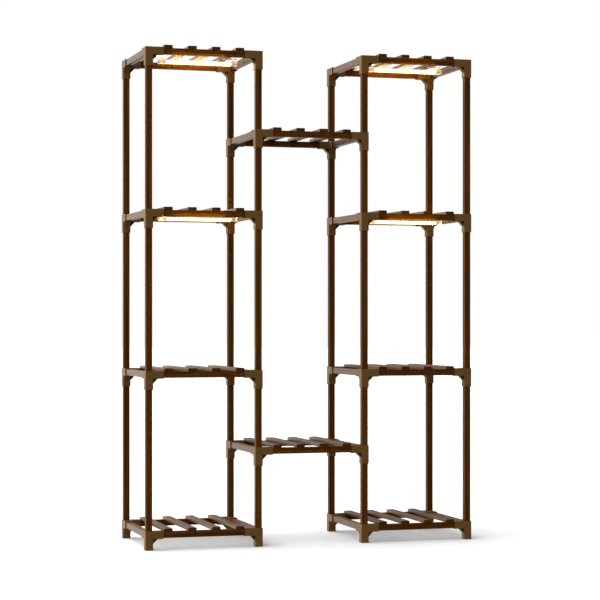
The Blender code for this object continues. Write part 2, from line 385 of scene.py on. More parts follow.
@dataclass(frozen=True)
class MouldedPlastic(Finish):
    """Olive-brown moulded plastic with a fine spark-eroded texture and slightly rubbed edges."""

    name: str = "moulded_plastic"
    body: Colour = (0.086, 0.0400, 0.0085, 1.0)
    shade: Colour = (0.070, 0.0315, 0.0062, 1.0)
    rubbed: Colour = (0.122, 0.0640, 0.0210, 1.0)
    clouds: Pattern = even(60.0, 3.0)
    flow: Pattern = Pattern((220.0, 220.0, 35.0))
    erosion: Pattern = even(1900.0, 2.0, 0.6)
    cloud_share: float = 0.6
    flow_share: float = 0.5
    cloud_band: Band = (0.35, 0.75)
    rub: float = 0.35
    cloud_rub: float = 0.4
    roughness: float = 0.38
    eroded_roughness: float = 0.10
    cloud_roughness: float = 0.04
    rubbed_gloss: float = 0.08
    eroded_relief: float = 0.7
    flow_relief: float = 0.3
    relief_strength: float = 0.30
    relief: float = 0.00012
    ior: float = 1.12

    def sockets(self, nodes: Nodes) -> Sockets:
        """Works out the clouded colour, the eroded texture and the rubbed edges.

        Args:
            nodes: the tree to build in.

        Returns:
            A value or a link for each socket of the Principled shader.
        """
        place = nodes.place()
        cloud = nodes.noise(place, self.clouds)
        flow = nodes.noise(place, self.flow)
        erosion = nodes.noise(place, self.erosion)
        edge = nodes.attribute("edge", "Fac")
        share = (cloud * self.cloud_share + flow * self.flow_share).ramp(*self.cloud_band)
        colour = nodes.blend(share, self.shade, self.body)
        height = erosion * self.eroded_relief + flow * self.flow_relief
        roughness = self.roughness + erosion * self.eroded_roughness - edge * self.rubbed_gloss
        return {
            "Base Color": nodes.blend(edge * (self.rub + cloud * self.cloud_rub), colour, self.rubbed),
            "Roughness": roughness + cloud * self.cloud_roughness,
            "Normal": nodes.bump(height, self.relief_strength, self.relief),
            "IOR": self.ior,
        }


@dataclass(frozen=True)
class ClearPlastic(Finish):
    """Clear moulded plastic of the light bars' hangers, faintly warm, with a painted glow, dim over its
    faces and warm at its rims, for the bar's light piped through it.
    """

    name: str = "clear_plastic"
    tints: tuple[Colour, Colour] = ((0.87, 0.76, 0.62, 1.0), (0.93, 0.84, 0.72, 1.0))
    face: Colour = (0.05, 0.03, 0.012, 1.0)
    rim_glow: Colour = (0.95, 0.66, 0.34, 1.0)
    rim_band: Band = (0.2, 0.8)
    painted_rim_glow: float = 0.08
    flow: Pattern = grained(60.0, 180.0)
    roughness: float = 0.05
    flow_roughness: float = 0.10
    relief_strength: float = 0.25
    relief: float = 0.0003
    transmission: float = 0.85
    ior: float = 1.46

    def sockets(self, nodes: Nodes) -> Sockets:
        """Works out the clear body and the painted glow at its rims.

        Args:
            nodes: the tree to build in.

        Returns:
            A value or a link for each socket of the Principled shader.
        """
        flow = nodes.noise(nodes.place(), self.flow)
        at_rim = nodes.attribute("edge", "Fac").ramp(*self.rim_band)
        return {
            "Base Color": nodes.blend(flow, *self.tints),
            "Roughness": self.roughness + flow * self.flow_roughness,
            "Normal": nodes.bump(flow, self.relief_strength, self.relief),
            # painted glow: a dim emission over the faces that turns warm and bright at the rounded rims,
            # for the bar's light piped to them
            "Emission Color": nodes.blend(at_rim, self.face, self.rim_glow),
            "Emission Strength": self.painted_rim_glow,
            "Transmission Weight": self.transmission,
            "IOR": self.ior,
        }


@dataclass(frozen=True)
class MilkyGlow(Finish):
    """Milky diffuser, lit from inside: brighter over each lamp chip and dimmer at the ends."""

    name: str = "milky_glow"
    tints: tuple[Colour, Colour] = ((0.80, 0.77, 0.70, 1.0), (0.84, 0.81, 0.74, 1.0))
    glows: tuple[Colour, Colour] = ((0.50, 0.30, 0.08, 1.0), (1.0, 0.78, 0.40, 1.0))
    clouds: Pattern = even(400.0)
    strength: float = 3.2
    chip_share: float = 0.14
    end_level: float = 0.72
    side_level: float = 0.90
    end_band: Band = (0.090, 0.109)
    side_band: Band = (0.6, 1.0)
    least_cloud: float = 0.96
    cloud_share: float = 0.08
    roughness: float = 0.32
    cloud_roughness: float = 0.10

    def sockets(self, nodes: Nodes) -> Sockets:
        """Works out the glow along and across the diffuser.

        Args:
            nodes: the tree to build in.

        Returns:
            A value or a link for each socket of the Principled shader.
        """
        run = nodes.attribute("run")
        along, across, _ = nodes.split(run)
        cloud = nodes.noise(run, self.clouds)
        chips = (along * (2 * math.pi / CHIP_PITCH)).wave()
        level = 1.0 - self.chip_share + chips * self.chip_share
        level = level * (self.least_cloud + cloud * self.cloud_share)
        level = level * along.size().ramp(*self.end_band, 1.0, self.end_level)
        level = level * across.size().ramp(*self.side_band, 1.0, self.side_level)
        return {
            "Base Color": nodes.blend(cloud, *self.tints),
            "Roughness": self.roughness + cloud * self.cloud_roughness,
            "Emission Color": nodes.blend(level, *self.glows),
            "Emission Strength": self.strength,
        }


@dataclass(frozen=True)
class CapGlow(Finish):
    """Milky end block, lit through from the diffuser, warmer and dimmer away from it."""

    name: str = "cap_glow"
    tints: tuple[Colour, Colour] = ((0.78, 0.74, 0.66, 1.0), (0.84, 0.80, 0.72, 1.0))
    glows: tuple[Colour, Colour] = ((0.30, 0.13, 0.02, 1.0), (1.0, 0.70, 0.28, 1.0))
    clouds: Pattern = even(300.0)
    strength: float = 0.7
    far_level: float = 0.25
    least_cloud: float = 0.9
    cloud_share: float = 0.2
    roughness: float = 0.30
    cloud_roughness: float = 0.12

    def sockets(self, nodes: Nodes) -> Sockets:
        """Works out the glow, which fades away from the diffuser.

        Args:
            nodes: the tree to build in.

        Returns:
            A value or a link for each socket of the Principled shader.
        """
        run = nodes.attribute("run")
        outward, _, _ = nodes.split(run)
        cloud = nodes.noise(run, self.clouds)
        near = outward.ramp(0.0, 1.0, 1.0, self.far_level) * (self.least_cloud + cloud * self.cloud_share)
        return {
            "Base Color": nodes.blend(cloud, *self.tints),
            "Roughness": self.roughness + cloud * self.cloud_roughness,
            "Emission Color": nodes.blend(near, *self.glows),
            "Emission Strength": self.strength,
        }


@dataclass(frozen=True)
class PowderCoat(Finish):
    """White powder coat on the light bars' channels."""

    name: str = "white_powder_coat"
    tints: tuple[Colour, Colour] = ((0.74, 0.72, 0.68, 1.0), (0.80, 0.78, 0.74, 1.0))
    clouds: Pattern = even(40.0)
    peel: Pattern = even(1100.0)
    roughness: float = 0.36
    peel_roughness: float = 0.12
    relief_strength: float = 0.25
    relief: float = 0.0001

    def sockets(self, nodes: Nodes) -> Sockets:
        """Works out the coat's colour and its fine peel.

        Args:
            nodes: the tree to build in.

        Returns:
            A value or a link for each socket of the Principled shader.
        """
        place = nodes.place()
        peel = nodes.noise(place, self.peel)
        return {
            "Base Color": nodes.blend(nodes.noise(place, self.clouds), *self.tints),
            "Roughness": self.roughness + peel * self.peel_roughness,
            "Normal": nodes.bump(peel, self.relief_strength, self.relief),
        }


@dataclass(frozen=True)
class Speckled(Finish):
    """A finish in fine spots of two near colours, rougher where the second one shows."""

    tints: tuple[Colour, Colour]
    spots: Pattern
    roughness: float
    rougher: float
    metallic: float = 0.0

    def sockets(self, nodes: Nodes) -> Sockets:
        """Works out the spots.

        Args:
            nodes: the tree to build in.

        Returns:
            A value or a link for each socket of the Principled shader.
        """
        spots = nodes.noise(nodes.place(), self.spots)
        return {
            "Base Color": nodes.blend(spots, *self.tints),
            "Roughness": self.roughness + spots * self.rougher,
            "Metallic": self.metallic,
        }


WOOD = WoodStain()
POLE_WOOD = WoodStain(name="stained_wood_poles", fleck_share=0.28, ior=1.09)
RAIL_WOOD = WoodStain(name="stained_wood_rails", fleck_share=0.55, ior=1.09)
PLASTIC = MouldedPlastic()
CLEAR = ClearPlastic()
GLOW = MilkyGlow()
CAP = CapGlow()
COAT = PowderCoat()
MASK_TINTS = ((0.74, 0.74, 0.72, 1.0), (0.82, 0.82, 0.80, 1.0))
PHOSPHOR_TINTS = ((0.80, 0.52, 0.08, 1.0), (0.86, 0.62, 0.16, 1.0))
ZINC_TINTS = ((0.16, 0.10, 0.055, 1.0), (0.30, 0.21, 0.13, 1.0))
BOARD = Speckled("white_circuit_board", MASK_TINTS, even(700.0), roughness=0.38, rougher=0.10)
CHIP = Speckled("lamp_chip", PHOSPHOR_TINTS, even(1500.0), roughness=0.42, rougher=0.12)
ZINC = Speckled("brown_zinc", ZINC_TINTS, even(900.0, 3.0), roughness=0.34, rougher=0.18, metallic=0.85)


# Mesh building


def eased_outline(width: float, height: float, radii: tuple[float, ...], steps: int = 3) -> Outline:
    """Outline of a rectangle about the origin with rounded corners.

    Args:
        width: its first side.
        height: its second side.
        radii: the corners' radii, from the lower left one to the left.
        steps: facets in each corner.

    Returns:
        The outline's points, turning to the left.
    """
    corners = ((-1, -1, 180), (1, -1, 270), (1, 1, 0), (-1, 1, 90))
    points = []
    for (side_a, side_b, first), radius in zip(corners, radii):
        middle_a = side_a * (width / 2 - radius)
        middle_b = side_b * (height / 2 - radius)
        for index in range(steps + 1):
            angle = math.radians(first + 90 * index / steps)
            points.append((middle_a + radius * math.cos(angle), middle_b + radius * math.sin(angle)))
    return points


def box_outline(low: tuple[float, float], high: tuple[float, float]) -> Outline:
    """Outline of the rectangle between two opposite corners."""
    return [low, (high[0], low[1]), high, (low[0], high[1])]


def square_outline(half: float) -> Outline:
    """Outline of a square about the origin."""
    return box_outline((-half, -half), (half, half))


def round_outline(radius: float, sides: int) -> Outline:
    """Outline of a circle about the origin."""
    turn = 2 * math.pi / sides
    return [(radius * math.cos(turn * index), radius * math.sin(turn * index)) for index in range(sides)]


def shrunk(outline: Outline, by: float) -> Outline:
    """Draws each side of an outline in by the same distance.

    Args:
        outline: its points.
        by: the distance.

    Returns:
        The new outline.
    """
    spans = [(min(values), max(values)) for values in zip(*outline)]
    middles = [(low + high) / 2 for low, high in spans]
    halves = [(high - low) / 2 for low, high in spans]
    return [
        tuple(middle + (value - middle) * (half - by) / half
              for value, middle, half in zip(point, middles, halves))
        for point in outline
    ]


def ring(shape: bmesh.types.BMesh, axis: Axis, level: float, outline: Outline, offset: Point) -> list:
    """Adds an outline's points to a mesh.

    Args:
        shape: the mesh that they are added to.
        axis: the direction that the outline lies across.
        level: its place along the axis.
        outline: the points.
        offset: where the outline's origin lies.

    Returns:
        The new vertices.
    """
    made = []
    for pair in outline:
        point = Vector(offset)
        point[axis.value] += level
        for index, value in zip(axis.across, pair):
            point[index] += value
        made.append(shape.verts.new(point))
    return made


def walls(shape: bmesh.types.BMesh, rings: list[list]) -> list:
    """Adds the faces between rings of vertices, each joined to the next.

    Args:
        shape: the mesh that they are added to.
        rings: the vertices, ring by ring.

    Returns:
        The new faces.
    """
    faces = []
    for first, second in zip(rings, rings[1:]):
        for index in range(len(first)):
            following = (index + 1) % len(first)
            corners = (first[index], first[following], second[following], second[index])
            faces.append(shape.faces.new(corners))
    return faces


def loft(shape: bmesh.types.BMesh, axis: Axis, rings: list[tuple[float, Outline]], offset: Point) -> list:
    """Adds a closed body that runs through rings of like outline.

    Args:
        shape: the mesh that it is added to.
        axis: the direction in which it runs.
        rings: each ring's place along the axis, and its outline.
        offset: where the outlines' origin lies.

    Returns:
        The new vertices, ring by ring.
    """
    made = [ring(shape, axis, level, outline, offset) for level, outline in rings]
    faces = [shape.faces.new(made[0]), shape.faces.new(made[-1]), *walls(shape, made)]
    bmesh.ops.recalc_face_normals(shape, faces=faces)
    return made


def mesh_of(shape: bmesh.types.BMesh, name: str) -> bpy.types.Mesh:
    """Turns a mesh in the making into a mesh.

    Args:
        shape: the mesh in the making, which is freed.
        name: the new mesh's name.

    Returns:
        The new mesh.
    """
    mesh = bpy.data.meshes.new(name)
    shape.to_mesh(mesh)
    shape.free()
    return mesh


def placed(name: str, data: bpy.types.ID) -> bpy.types.Object:
    """Puts an object in the scene.

    Args:
        name: its name.
        data: its mesh, lamp or camera.

    Returns:
        The object.
    """
    made = bpy.data.objects.new(name, data)
    bpy.context.scene.collection.objects.link(made)
    return made


def solid(axis: Axis, rings: list[tuple[float, Outline]], offset: Point = ORIGIN) -> bpy.types.Object:
    """Makes a helper that runs through rings of like outline.

    Args:
        axis: the direction in which it runs.
        rings: each ring's place along the axis, and its outline.
        offset: where the outlines' origin lies.

    Returns:
        The helper, which merged() or released() takes in the end.
    """
    shape = bmesh.new()
    loft(shape, axis, rings, offset)
    return placed("helper", mesh_of(shape, "helper"))


def prism(axis: Axis, outline: Outline, start: float, end: float,
          offset: Point = ORIGIN) -> bpy.types.Object:
    """Makes a helper of one section, from start to end."""
    return solid(axis, [(start, outline), (end, outline)], offset)


def merged(body: bpy.types.Object, others: list[bpy.types.Object], operation: str) -> None:
    """Unites a helper with others, or cuts them from it. The others are removed.

    Args:
        body: the helper that is changed.
        others: the helpers that are used up.
        operation: the Boolean's name.
    """
    for other in others:
        step = body.modifiers.new(operation.lower(), "BOOLEAN")
        step.operation = operation
        step.object = other
    bpy.context.view_layer.update()
    graph = bpy.context.evaluated_depsgraph_get()
    body.data = bpy.data.meshes.new_from_object(body.evaluated_get(graph))
    body.modifiers.clear()
    for other in others:
        bpy.data.objects.remove(other, do_unlink=True)


def released(body: bpy.types.Object) -> bpy.types.Mesh:
    """Takes a helper's mesh.

    Args:
        body: the helper, which is removed.

    Returns:
        Its mesh.
    """
    mesh = body.data
    bpy.data.objects.remove(body, do_unlink=True)
    return mesh


def round_edges(mesh: bpy.types.Mesh, width: float, steps: int) -> None:
    """Rounds a mesh's outer edges, and marks the rounding in the attribute "edge".

    Args:
        mesh: the mesh.
        width: the rounding's width.
        steps: its facets.
    """
    shape = bmesh.new()
    shape.from_mesh(mesh)
    bmesh.ops.remove_doubles(shape, verts=shape.verts, dist=WELD)
    bmesh.ops.dissolve_limit(shape, angle_limit=FLAT_WITHIN, verts=shape.verts, edges=shape.edges)
    sharp = [
        edge
        for edge in shape.edges
        if len(edge.link_faces) == 2 and edge.is_convex and edge.calc_face_angle() > ROUNDED_FROM
    ]
    rounded = bmesh.ops.bevel(shape, geom=sharp, offset=width, segments=steps, profile=0.5,
                              affect="EDGES", clamp_overlap=True)
    mark = shape.verts.layers.float.new("edge")
    for face in rounded["faces"]:
        for corner in face.verts:
            corner[mark] = 1.0
    shape.to_mesh(mesh)
    shape.free()


def dressed(name: str, mesh: bpy.types.Mesh, finish: Finish, nodes: tuple[str, ...] = (),
            place: Point = ORIGIN) -> None:
    """Puts a mesh in the scene as one piece of the stand.

    Args:
        name: the piece's name.
        mesh: its mesh.
        finish: its finish, unless the mesh has one.
        nodes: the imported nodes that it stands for.
        place: where its origin goes.
    """
    if not any(mesh.materials):
        mesh.materials.clear()
        mesh.materials.append(finish.make())
        mesh.shade_smooth()
        mesh.set_sharp_from_angle(angle=CREASED_FROM)
    piece = placed(name, mesh)
    piece.location = place
    faces = piece.modifiers.new("even_faces", "WEIGHTED_NORMAL")
    faces.keep_sharp = True
    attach(piece, BODY)
    if nodes:
        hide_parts(*nodes)
    log.info("%s: %d faces", name, len(mesh.polygons))


# The stand's own measures


@dataclass(frozen=True)
class Stock:
    """Square wood as it comes from the mill."""

    side: float = 0.020
    ease: float = 0.0010
    saw: float = 0.0004

    @property
    def outline(self) -> Outline:
        """The section of a pole or a rail."""
        return eased_outline(self.side, self.side, (self.ease,) * 4)


@dataclass(frozen=True)
class Slat:
    """A flat slat, laid across the front and back rails."""

    width: float = 0.028
    thickness: float = 0.010
    top_ease: float = 0.0024
    under_ease: float = 0.0006
    saw: float = 0.0005
    count: int = 4
    span: float = 0.263

    @property
    def outline(self) -> Outline:
        """The section, about the slat's middle."""
        radii = (self.under_ease, self.under_ease, self.top_ease, self.top_ease)
        return eased_outline(self.width, self.thickness, radii)

    @property
    def places(self) -> list[float]:
        """X of each slat's middle, from the middle of the shelf."""
        step = (self.span - self.width) / (self.count - 1)
        return [-(self.span - self.width) / 2 + index * step for index in range(self.count)]


@dataclass(frozen=True)
class Sleeve:
    """What the connectors' sleeves and arms have in common."""

    side: float = 0.025
    reach: float = 0.0475
    bore: float = 0.0206
    floor: float = 0.003
    lip: float = 0.0016
    edge: float = 0.0009
    mouth_relief: float = 0.0020
    mouth_depth: float = 0.0090
    gusset_leg: float = 0.016
    gusset_web: float = 0.004
    gusset_flange: float = 0.0025
    gusset_width: float = 0.020
    gusset_root: float = 0.001

    @property
    def proud(self) -> float:
        """How far a sleeve stands out from the wood."""
        return (self.side - STOCK.side) / 2


STOCK = Stock()
SLAT = Slat()
SLEEVE = Sleeve()


@dataclass
class Layout:
    """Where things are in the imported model."""

    pole_x: dict[str, float] = field(default_factory=dict)
    pole_y: dict[str, float] = field(default_factory=dict)
    top: float = 0.0
    foot: float = 0.0

    def read(self) -> "Layout":
        """Reads the poles' axes and ends from the side frames' boxes.

        Returns:
            The layout itself.
        """
        for tower in HANDS:
            for place in FRAME_PLACES:
                low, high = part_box(f"{tower}_tower_{place}_side_frame")
                self.pole_x[f"{tower}_{place}"] = (low.x + high.x) / 2
                self.pole_y = {"front": low.y + STOCK.side / 2, "back": high.y - STOCK.side / 2}
                self.foot, self.top = low.z, high.z
        return self

    def rail_top(self, shelf: str) -> float:
        """Height of the rails' top faces of a shelf, from its slats' tops."""
        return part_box(shelf)[1].z - SLAT.thickness

    def tower_heights(self, tower: str) -> list[float]:
        """The rails' heights of a tower's four shelves."""
        return [self.rail_top(f"{tower}_tower_shelf_{level}") for level in LEVELS]

    def bridge_heights(self) -> list[float]:
        """The rails' heights of the two bridge shelves."""
        return [self.rail_top(f"bridge_shelf_{name}") for name in ("lower", "upper")]


LAYOUT = Layout().read()


def timber(name: str, node: str, stain: WoodStain, wood: Stock | Slat, axis: Axis,
           lengths: list[tuple[float, float, Point]]) -> None:
    """Builds lengths of wood as one piece, each with a grain of its own.

    Args:
        name: the piece's name, which seeds the grain.
        node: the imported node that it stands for.
        stain: its finish.
        wood: the lengths' section, and how far their sawn ends are eased.
        axis: the direction in which they run.
        lengths: start, end and the place of the section's origin, for each.
    """
    shape = bmesh.new()
    grain = shape.verts.layers.float_vector.new("grain")
    section = shape.verts.layers.float_vector.new("section")
    tone = shape.verts.layers.float.new("tone")
    draw = random.Random(name)
    outline = wood.outline
    sawn = shrunk(outline, wood.saw)
    half_a, half_b = (max(values) for values in zip(*outline))
    for start, end, offset in lengths:
        rings = [(start, sawn), (start + wood.saw, outline), (end - wood.saw, outline), (end, sawn)]
        made = loft(shape, axis, rings, offset)
        run = draw.uniform(*GRAIN_RUN)
        pith_a, pith_b = [draw.uniform(*reach) * draw.choice((-1, 1)) for reach in PITH_REACHES]
        shade = draw.uniform(-1.0, 1.0)
        for (level, points), vertices in zip(rings, made):
            for (a, b), vertex in zip(points, vertices):
                vertex[grain] = Vector((run + level, pith_a + a, pith_b + b))
                vertex[section] = Vector((a / half_a, b / half_b, float(level in (start, end))))
                vertex[tone] = shade
    dressed(name, mesh_of(shape, name), stain, (node,))


@dataclass
class SideFrame:
    """The front and back poles of one side of a tower, cut at each connector, and its side rails."""

    tower: str
    place: str
    end_gap: float = 0.0004

    def heights(self) -> list[float]:
        """Finds the rails that meet these poles.

        Returns:
            The heights of their tops, from the floor up.
        """
        heights = LAYOUT.tower_heights(self.tower)
        if self.place == "inner":
            heights += LAYOUT.bridge_heights()
        return sorted(heights)

    def build(self) -> None:
        """Builds the poles, cut in the middle of each connector that they pass, and the side rails."""
        node = f"{self.tower}_tower_{self.place}_side_frame"
        x = LAYOUT.pole_x[f"{self.tower}_{self.place}"]
        half = STOCK.side / 2
        front, back = LAYOUT.pole_y.values()
        middles = [height - half for height in self.heights()]
        cuts = [LAYOUT.foot, *middles[1:-1], LAYOUT.top]
        spans = [(start, end - self.end_gap) for start, end in zip(cuts, cuts[1:])]
        poles = [(*span, (x, y, 0.0)) for y in (front, back) for span in spans]
        timber(f"{node}_poles", node, POLE_WOOD, STOCK, Axis.Z, poles)
        rails = [(front + half, back - half, (x, 0.0, middle)) for middle in middles]
        timber(f"{node}_side_rails", node, WOOD, STOCK, Axis.Y, rails)


@dataclass
class Screw:
    """A small pan-head screw with a cross recess, seen from its head."""

    radius: float = 0.0028
    height: float = 0.0009
    dome: float = 0.0005
    recess: float = 0.0005
    arm: float = 0.0017
    arm_width: float = 0.0007
    sides: int = 20

    def cross(self) -> Outline:
        """Draws the outline of the recess.

        Returns:
            Its points, turning to the left.
        """
        half = self.arm_width / 2
        corner = [(half, half), (half, self.arm), (-half, self.arm)]
        points = []
        for _ in range(4):
            points += corner
            corner = [(-b, a) for a, b in corner]
        return points

    def add(self, shape: bmesh.types.BMesh, place: Point) -> None:
        """Adds one head under a face that looks down.

        Args:
            shape: the mesh that it is added to.
            place: the middle of the head's seat.
        """
        domed = self.radius - self.dome
        profile = ((TOUCH, self.radius), (-self.height * 0.5, self.radius), (-self.height, domed))
        head = []
        for level, radius in profile:
            head.append(ring(shape, Axis.Z, level, round_outline(radius, self.sides), place))
        mouth = ring(shape, Axis.Z, -self.height, self.cross(), place)
        deep = ring(shape, Axis.Z, self.recess - self.height, self.cross(), place)
        faces = [shape.faces.new(head[0]), shape.faces.new(deep)]
        faces += walls(shape, head) + walls(shape, [mouth, deep])
        edges = []
        for loop in (head[-1], mouth):
            edges += [shape.edges.get(pair) for pair in zip(loop, loop[1:] + loop[:1])]
        filled = bmesh.ops.triangle_fill(shape, use_beauty=True, use_dissolve=False, edges=edges)
        faces += [made for made in filled["geom"] if isinstance(made, bmesh.types.BMFace)]
        bmesh.ops.recalc_face_normals(shape, faces=faces)

    def piece(self, name: str, places: list[Point], slot: str, nodes: tuple[str, ...] = ()) -> None:
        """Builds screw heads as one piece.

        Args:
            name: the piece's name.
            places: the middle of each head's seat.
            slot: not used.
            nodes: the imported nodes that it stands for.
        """
        shape = bmesh.new()
        for place in places:
            self.add(shape, place)
        dressed(name, mesh_of(shape, name), ZINC, nodes)


SCREW = Screw()


@dataclass
class Shelf:
    """Front and back rails of a shelf, four slats on top, and a screw through each rail into each slat."""

    node: str

    def __post_init__(self) -> None:
        """Reads the shelf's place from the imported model."""
        low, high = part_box(self.node)
        self.middle = (low.x + high.x) / 2
        self.rail_top = LAYOUT.rail_top(self.node)
        self.slat_x = [self.middle + x for x in SLAT.places]

    def build(self) -> None:
        """Builds the rails, which end inside the connectors' arms, and the slats and screws."""
        half = STOCK.side / 2
        front, back = LAYOUT.pole_y.values()
        bay = abs(LAYOUT.pole_x["left_outer"] - LAYOUT.pole_x["left_inner"])
        reach = bay / 2 - half - 2 * SLEEVE.proud
        rails = [(-reach, reach, (self.middle, y, self.rail_top - half)) for y in (front, back)]
        timber(f"{self.node}_rails", self.node, RAIL_WOOD, STOCK, Axis.X, rails)
        height = self.rail_top + SLAT.thickness / 2
        slats = [(front - half, back + half, (x, 0.0, height)) for x in self.slat_x]
        timber(f"{self.node}_slats", self.node, WOOD, SLAT, Axis.Y, slats)
        screws = [(x, y, self.rail_top - STOCK.side) for x in self.slat_x for y in (front, back)]
        SCREW.piece(f"{self.node}_screws", screws, "wood")


class ConnectorMould:
    """The moulds of the corner connectors. Each form and handing is cast once and then used again."""

    def __init__(self) -> None:
        """Starts with no casting made, and reads a sleeve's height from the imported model."""
        self.castings: dict[tuple, bpy.types.Mesh] = {}
        low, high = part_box("left_tower_connector_1_front_left")
        self.bottom = SLEEVE.proud - (high.z - low.z)

    def sleeve(self, joint: Joint) -> bpy.types.Object:
        """Makes the upright sleeve, with a slanted lip at an open lower end.

        Args:
            joint: the connector's form.

        Returns:
            The helper solid.
        """
        outline = square_outline(SLEEVE.side / 2)
        rings = [(self.bottom, outline), (SLEEVE.proud, outline)]
        if joint is not Joint.FOOT:
            rings[0] = (self.bottom + SLEEVE.lip, outline)
            rings.insert(0, (self.bottom, shrunk(outline, SLEEVE.lip)))
        return solid(Axis.Z, rings)

    @staticmethod
    def gusset(axis: Axis, sign: int) -> list[bpy.types.Object]:
        """The thin web and the wide slanted flange in the corner below an arm.

        Args:
            axis: the arm's direction.
            sign: which way it points.

        Returns:
            The helper solids.
        """
        face = SLEEVE.side / 2
        root = face - SLEEVE.gusset_root
        tip = face + SLEEVE.gusset_leg
        under = -STOCK.side - SLEEVE.proud
        low = under - SLEEVE.gusset_leg
        inset = SLEEVE.gusset_flange * math.sqrt(2)
        into_arm = under + SLEEVE.gusset_root
        slant = [(tip, into_arm), (tip, under), (face, low), (root, low)]
        web = [(root, into_arm), *slant]
        flange = [(tip - inset, into_arm), *slant]
        flange += [(root, low + inset), (face, low + inset), (tip - inset, under)]
        across = Axis.Y if axis is Axis.X else Axis.X
        made = []
        for points, width in ((web, SLEEVE.gusset_web), (flange, SLEEVE.gusset_width)):
            outline = [(sign * out, height) for out, height in points]
            made.append(prism(across, outline, -width / 2, width / 2))
        return made

    def cast(self, x_sign: int, y_sign: int, joint: Joint) -> bpy.types.Mesh:
        """Casts one form.

        Args:
            x_sign: which way the arm along X points.
            y_sign: which way the arm along Y points.
            joint: the connector's form.

        Returns:
            The mesh, about the pole's axis at the rails' top.
        """
        key = (x_sign, y_sign, joint)
        if key in self.castings:
            return self.castings[key]
        arms = ((Axis.X, x_sign), (Axis.Y, y_sign))
        rail = (0.0, 0.0, -STOCK.side / 2)
        square = square_outline(SLEEVE.side / 2)
        bore = square_outline(SLEEVE.bore / 2)
        mouth = square_outline(SLEEVE.bore / 2 + SLEEVE.mouth_relief)
        past = SLEEVE.side
        body = self.sleeve(joint)
        others = [prism(axis, square, 0, sign * SLEEVE.reach, rail) for axis, sign in arms]
        for axis, sign in arms:
            others += self.gusset(axis, sign)
        merged(body, others, "UNION")
        round_edges(body.data, SLEEVE.edge, steps=2)
        bore_bottom = self.bottom + SLEEVE.floor if joint is Joint.FOOT else self.bottom - past
        bore_top = TOUCH if joint is Joint.TOP else past
        cutters = [prism(Axis.Z, bore, bore_bottom, bore_top)]
        for outline, start in ((bore, 0), (mouth, SLEEVE.reach - SLEEVE.mouth_depth)):
            for axis, sign in arms:
                cutters.append(prism(axis, outline, sign * start, sign * (SLEEVE.reach + past), rail))
        merged(body, cutters, "DIFFERENCE")
        mesh = released(body)
        mesh.name = f"connector_{joint.value}_{x_sign}_{y_sign}"
        self.castings[key] = mesh
        return mesh

    def connector(self, name: str, node: str, joint: Joint, corner: tuple[str, str], place: Point) -> None:
        """Builds the connector at one corner of a shelf.

        Args:
            name: the piece's name.
            node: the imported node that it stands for.
            joint: its form.
            corner: its side and its hand.
            place: the pole's axis at the rails' top.
        """
        side, hand = corner
        mesh = self.cast(-HANDS[hand], -SIDES[side], joint)
        dressed(name, mesh, PLASTIC, (node,), place)


MOULD = ConnectorMould()
CORNERS = [(side, hand) for side in SIDES for hand in HANDS]


@dataclass
class Tower:
    """One of the two towers: two side frames, four shelves and sixteen connectors."""

    name: str
    joints: tuple[Joint, ...] = (Joint.FOOT, Joint.MIDDLE, Joint.MIDDLE, Joint.TOP)

    def connectors(self) -> None:
        """Builds the tower's connectors, from the feet up."""
        heights = LAYOUT.tower_heights(self.name)
        for level, joint, height in zip(LEVELS, self.joints, heights):
            for side, hand in CORNERS:
                node = f"{self.name}_tower_connector_{level}_{side}_{hand}"
                frame_place = "outer" if hand == self.name else "inner"
                place = (LAYOUT.pole_x[f"{self.name}_{frame_place}"], LAYOUT.pole_y[side], height)
                MOULD.connector(f"{node}_moulding", node, joint, (side, hand), place)

    def build(self) -> None:
        """Builds the tower."""
        for place in FRAME_PLACES:
            SideFrame(self.name, place).build()
        for level in LEVELS:
            Shelf(f"{self.name}_tower_shelf_{level}").build()
        self.connectors()


@dataclass
class Bridge:
    """A shelf between the towers, with its own four connectors."""

    name: str

    def build(self) -> None:
        """Builds the bridge shelf."""
        node = f"bridge_shelf_{self.name}"
        Shelf(node).build()
        for side, hand in CORNERS:
            place = (LAYOUT.pole_x[f"{hand}_inner"], LAYOUT.pole_y[side], LAYOUT.rail_top(node))
            MOULD.connector(f"{node}_connector_{side}_{hand}", node, Joint.MIDDLE, (side, hand), place)


